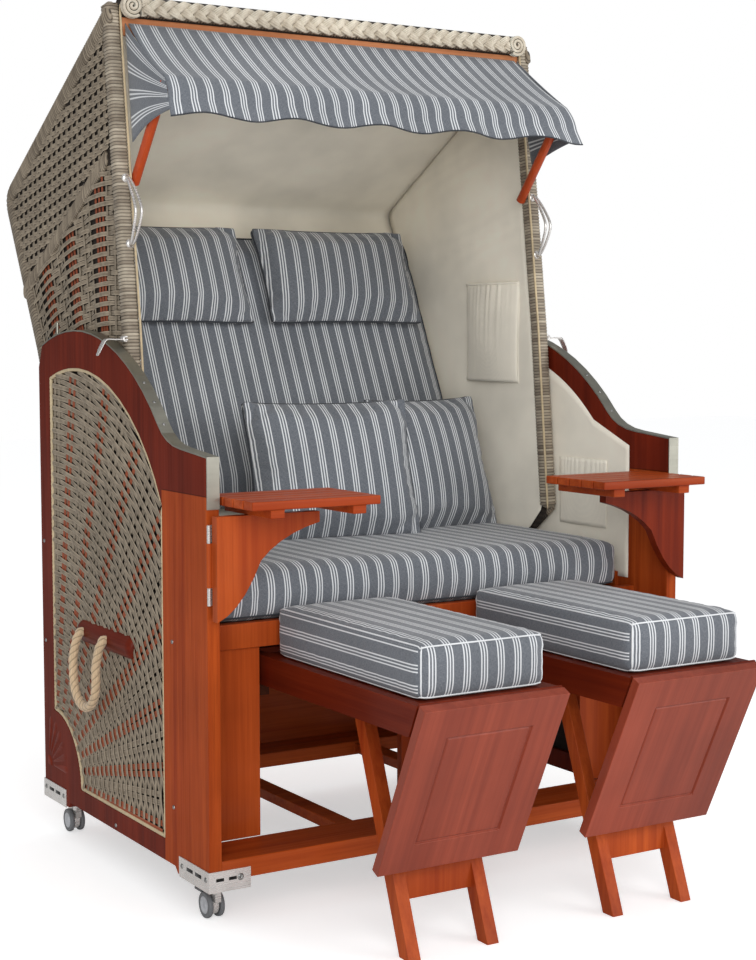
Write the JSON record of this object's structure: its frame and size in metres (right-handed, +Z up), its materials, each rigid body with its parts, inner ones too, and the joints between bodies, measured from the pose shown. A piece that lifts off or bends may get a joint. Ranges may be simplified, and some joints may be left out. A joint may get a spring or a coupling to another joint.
{
  "type": "hooded beach chair",
  "caption": "Two-seat beach chair: wooden base with woven sides, tilting woven hood with striped cushions, awning, folding footrests, swinging side tables and castors.",
  "frame": {"origin": "on the floor, under the middle of the overall size", "axes": "+Z up, -Y the way the sitters face, X across the seat"},
  "size_m": [1.1816, 1.5312, 1.762],
  "materials": {
    "dark_wood": "dark red-brown varnish",
    "red_wood": "red-brown varnish",
    "wicker": "woven grey-brown strands",
    "steel": "brushed",
    "castor_plastic": "grey plastic",
    "rope": "laid natural rope",
    "lining": "plain beige cloth",
    "striped_cloth": "grey cloth with white stripes"
  },
  "bodies": {
    "base": {"side_frame_left": "dark_wood", "side_frame_right": "dark_wood", "side_weave_left": "wicker", "side_weave_right": "wicker", "rail_strip_left": "steel", "rail_strip_right": "steel", "rope_left": "rope", "rope_right": "rope", "table_hinge_left": "steel", "table_hinge_right": "steel", "corner_bracket_front_left": "steel", "corner_bracket_front_right": "steel", "corner_bracket_rear_left": "steel", "corner_bracket_rear_right": "steel", "floor_frame": "dark_wood", "rear_weave": "wicker", "front_frame": "red_wood", "guide_frame": "dark_wood", "seat_deck": "dark_wood", "seat_cushion": "striped_cloth"},
    "hood": {"hood_side_left": "wicker", "hood_side_right": "wicker", "hood_front_frame": "wicker", "hood_shell": "wicker", "hood_lining": "lining", "back_cushion": "striped_cloth", "head_pillow_left": "striped_cloth", "head_pillow_right": "striped_cloth", "grab_handle_left": "steel", "grab_handle_right": "steel"},
    "awning": {"awning_frame": "red_wood", "awning_cloth": "striped_cloth"},
    "throw_pillow_left": {"throw_pillow_left": "striped_cloth"},
    "throw_pillow_right": {"throw_pillow_right": "striped_cloth"},
    "latch_left": {"latch_lever_left": "steel"},
    "footrest_left": {"footrest_frame_left": "red_wood", "footrest_cushion_left": "striped_cloth"},
    "footrest_panel_left": {"footrest_panel_left": "red_wood"},
    "footrest_rod_left": {"footrest_rod_left": "steel"},
    "footrest_legs_left": {"footrest_legs_left": "red_wood"},
    "table_left": {"table_bracket_left": "red_wood", "table_top_left": "red_wood"},
    "castor_front_left": {"castor_body_front_left": "steel"},
    "castor_wheel_front_left": {"castor_wheel_front_left": "castor_plastic"},
    "castor_rear_left": {"castor_body_rear_left": "steel"},
    "castor_wheel_rear_left": {"castor_wheel_rear_left": "castor_plastic"},
    "brake_left": {"brake_lever_left": "castor_plastic"},
    "latch_right": {"latch_lever_right": "steel"},
    "footrest_right": {"footrest_frame_right": "red_wood", "footrest_cushion_right": "striped_cloth"},
    "footrest_panel_right": {"footrest_panel_right": "red_wood"},
    "footrest_rod_right": {"footrest_rod_right": "steel"},
    "footrest_legs_right": {"footrest_legs_right": "red_wood"},
    "table_right": {"table_bracket_right": "red_wood", "table_top_right": "red_wood"},
    "castor_front_right": {"castor_body_front_right": "steel"},
    "castor_wheel_front_right": {"castor_wheel_front_right": "castor_plastic"},
    "castor_rear_right": {"castor_body_rear_right": "steel"},
    "castor_wheel_rear_right": {"castor_wheel_rear_right": "castor_plastic"},
    "brake_right": {"brake_lever_right": "castor_plastic"}
  },
  "joints": [
    {"name": "hood_tilt", "type": "hinge", "parent": "base", "child": "hood", "pos_m": [0, 0.29184, 0.54], "axis": [1, 0, 0], "range_deg": [-29.5, 18]},
    {"name": "awning_fold", "type": "hinge", "parent": "hood", "child": "awning", "pos_m": [0, 0.14484, 1.388], "axis": [1, 0, 0], "range_deg": [-40, 0], "deforming": ["awning_cloth"]},
    {"name": "throw_pillow_left_shift", "type": "slide", "parent": "hood", "child": "throw_pillow_left", "axis": [0, 0.4291, 0.9033], "range_m": [-0.096, 0.059], "deforming": ["throw_pillow_left"]},
    {"name": "throw_pillow_right_shift", "type": "slide", "parent": "hood", "child": "throw_pillow_right", "axis": [0, 0.4291, 0.9033], "range_m": [-0.072, 0.044], "deforming": ["throw_pillow_right"]},
    {"name": "latch_left", "type": "hinge", "parent": "hood", "child": "latch_left", "pos_m": [-0.5203, 0.10334, 1.078], "axis": [0, 1, 0], "range_deg": [0, 50]},
    {"name": "footrest_left", "type": "slide", "parent": "base", "child": "footrest_left", "axis": [0, 1, 0], "range_m": [0, 0.5], "deforming": ["footrest_cushion_left"]},
    {"name": "footrest_panel_left", "type": "hinge", "parent": "footrest_left", "child": "footrest_panel_left", "pos_m": [-0.22615, -0.74166, 0.4775], "axis": [1, 0, 0], "range_deg": [-25.5, 0]},
    {"name": "leg_rod_left", "type": "slide", "parent": "footrest_left", "child": "footrest_rod_left", "axis": [0, 1, 0], "range_m": [0, 0.34]},
    {"name": "leg_fold_left", "type": "hinge", "parent": "footrest_rod_left", "child": "footrest_legs_left", "pos_m": [-0.22615, -0.45316, 0.437], "axis": [1, 0, 0], "range_deg": [-59, 0]},
    {"name": "table_left", "type": "hinge", "parent": "base", "child": "table_left", "pos_m": [-0.549, -0.32416, 0.797], "axis": [0, 0, 1], "range_deg": [-180, 0]},
    {"name": "castor_swivel_front_left", "type": "hinge", "parent": "base", "child": "castor_front_left", "pos_m": [-0.505, -0.25216, 0.0739], "axis": [0, 0, 1], "continuous": true},
    {"name": "castor_spin_front_left", "type": "hinge", "parent": "castor_front_left", "child": "castor_wheel_front_left", "pos_m": [-0.505, -0.23416, 0.025], "axis": [1, 0, 0], "continuous": true},
    {"name": "castor_swivel_rear_left", "type": "hinge", "parent": "base", "child": "castor_rear_left", "pos_m": [-0.505, 0.42684, 0.0739], "axis": [0, 0, 1], "continuous": true},
    {"name": "castor_spin_rear_left", "type": "hinge", "parent": "castor_rear_left", "child": "castor_wheel_rear_left", "pos_m": [-0.505, 0.44484, 0.025], "axis": [1, 0, 0], "continuous": true},
    {"name": "brake_left", "type": "hinge", "parent": "castor_front_left", "child": "brake_left", "pos_m": [-0.505, -0.21516, 0.043], "axis": [1, 0, 0], "range_deg": [-12, 0]},
    {"name": "latch_right", "type": "hinge", "parent": "hood", "child": "latch_right", "pos_m": [0.5203, 0.10334, 1.078], "axis": [0, 1, 0], "range_deg": [-50, 0]},
    {"name": "footrest_right", "type": "slide", "parent": "base", "child": "footrest_right", "axis": [0, 1, 0], "range_m": [0, 0.5], "deforming": ["footrest_cushion_right"]},
    {"name": "footrest_panel_right", "type": "hinge", "parent": "footrest_right", "child": "footrest_panel_right", "pos_m": [0.22615, -0.74166, 0.4775], "axis": [1, 0, 0], "range_deg": [-25.5, 0]},
    {"name": "leg_rod_right", "type": "slide", "parent": "footrest_right", "child": "footrest_rod_right", "axis": [0, 1, 0], "range_m": [0, 0.34]},
    {"name": "leg_fold_right", "type": "hinge", "parent": "footrest_rod_right", "child": "footrest_legs_right", "pos_m": [0.22615, -0.45316, 0.437], "axis": [1, 0, 0], "range_deg": [-59, 0]},
    {"name": "table_right", "type": "hinge", "parent": "base", "child": "table_right", "pos_m": [0.549, -0.32416, 0.797], "axis": [0, 0, 1], "range_deg": [0, 180]},
    {"name": "castor_swivel_front_right", "type": "hinge", "parent": "base", "child": "castor_front_right", "pos_m": [0.505, -0.25216, 0.0739], "axis": [0, 0, 1], "continuous": true},
    {"name": "castor_spin_front_right", "type": "hinge", "parent": "castor_front_right", "child": "castor_wheel_front_right", "pos_m": [0.505, -0.23416, 0.025], "axis": [1, 0, 0], "continuous": true},
    {"name": "castor_swivel_rear_right", "type": "hinge", "parent": "base", "child": "castor_rear_right", "pos_m": [0.505, 0.42684, 0.0739], "axis": [0, 0, 1], "continuous": true},
    {"name": "castor_spin_rear_right", "type": "hinge", "parent": "castor_rear_right", "child": "castor_wheel_rear_right", "pos_m": [0.505, 0.44484, 0.025], "axis": [1, 0, 0], "continuous": true},
    {"name": "brake_right", "type": "hinge", "parent": "castor_front_right", "child": "brake_right", "pos_m": [0.505, -0.21516, 0.043], "axis": [1, 0, 0], "range_deg": [-12, 0]}
  ],
  "couplings": [
    {"joint": "throw_pillow_left_shift", "follows": "hood_tilt", "m_per_rad": 0.185},
    {"joint": "throw_pillow_right_shift", "follows": "hood_tilt", "m_per_rad": 0.138},
    {"joint": "footrest_panel_left", "follows": "footrest_left", "rad_per_m": -0.89},
    {"joint": "leg_rod_left", "follows": "footrest_left", "ratio": 0.68},
    {"joint": "leg_fold_left", "follows": "footrest_left", "rad_per_m": -2.059},
    {"joint": "footrest_panel_right", "follows": "footrest_right", "rad_per_m": -0.89},
    {"joint": "leg_rod_right", "follows": "footrest_right", "ratio": 0.68},
    {"joint": "leg_fold_right", "follows": "footrest_right", "rad_per_m": -2.059}
  ]
}
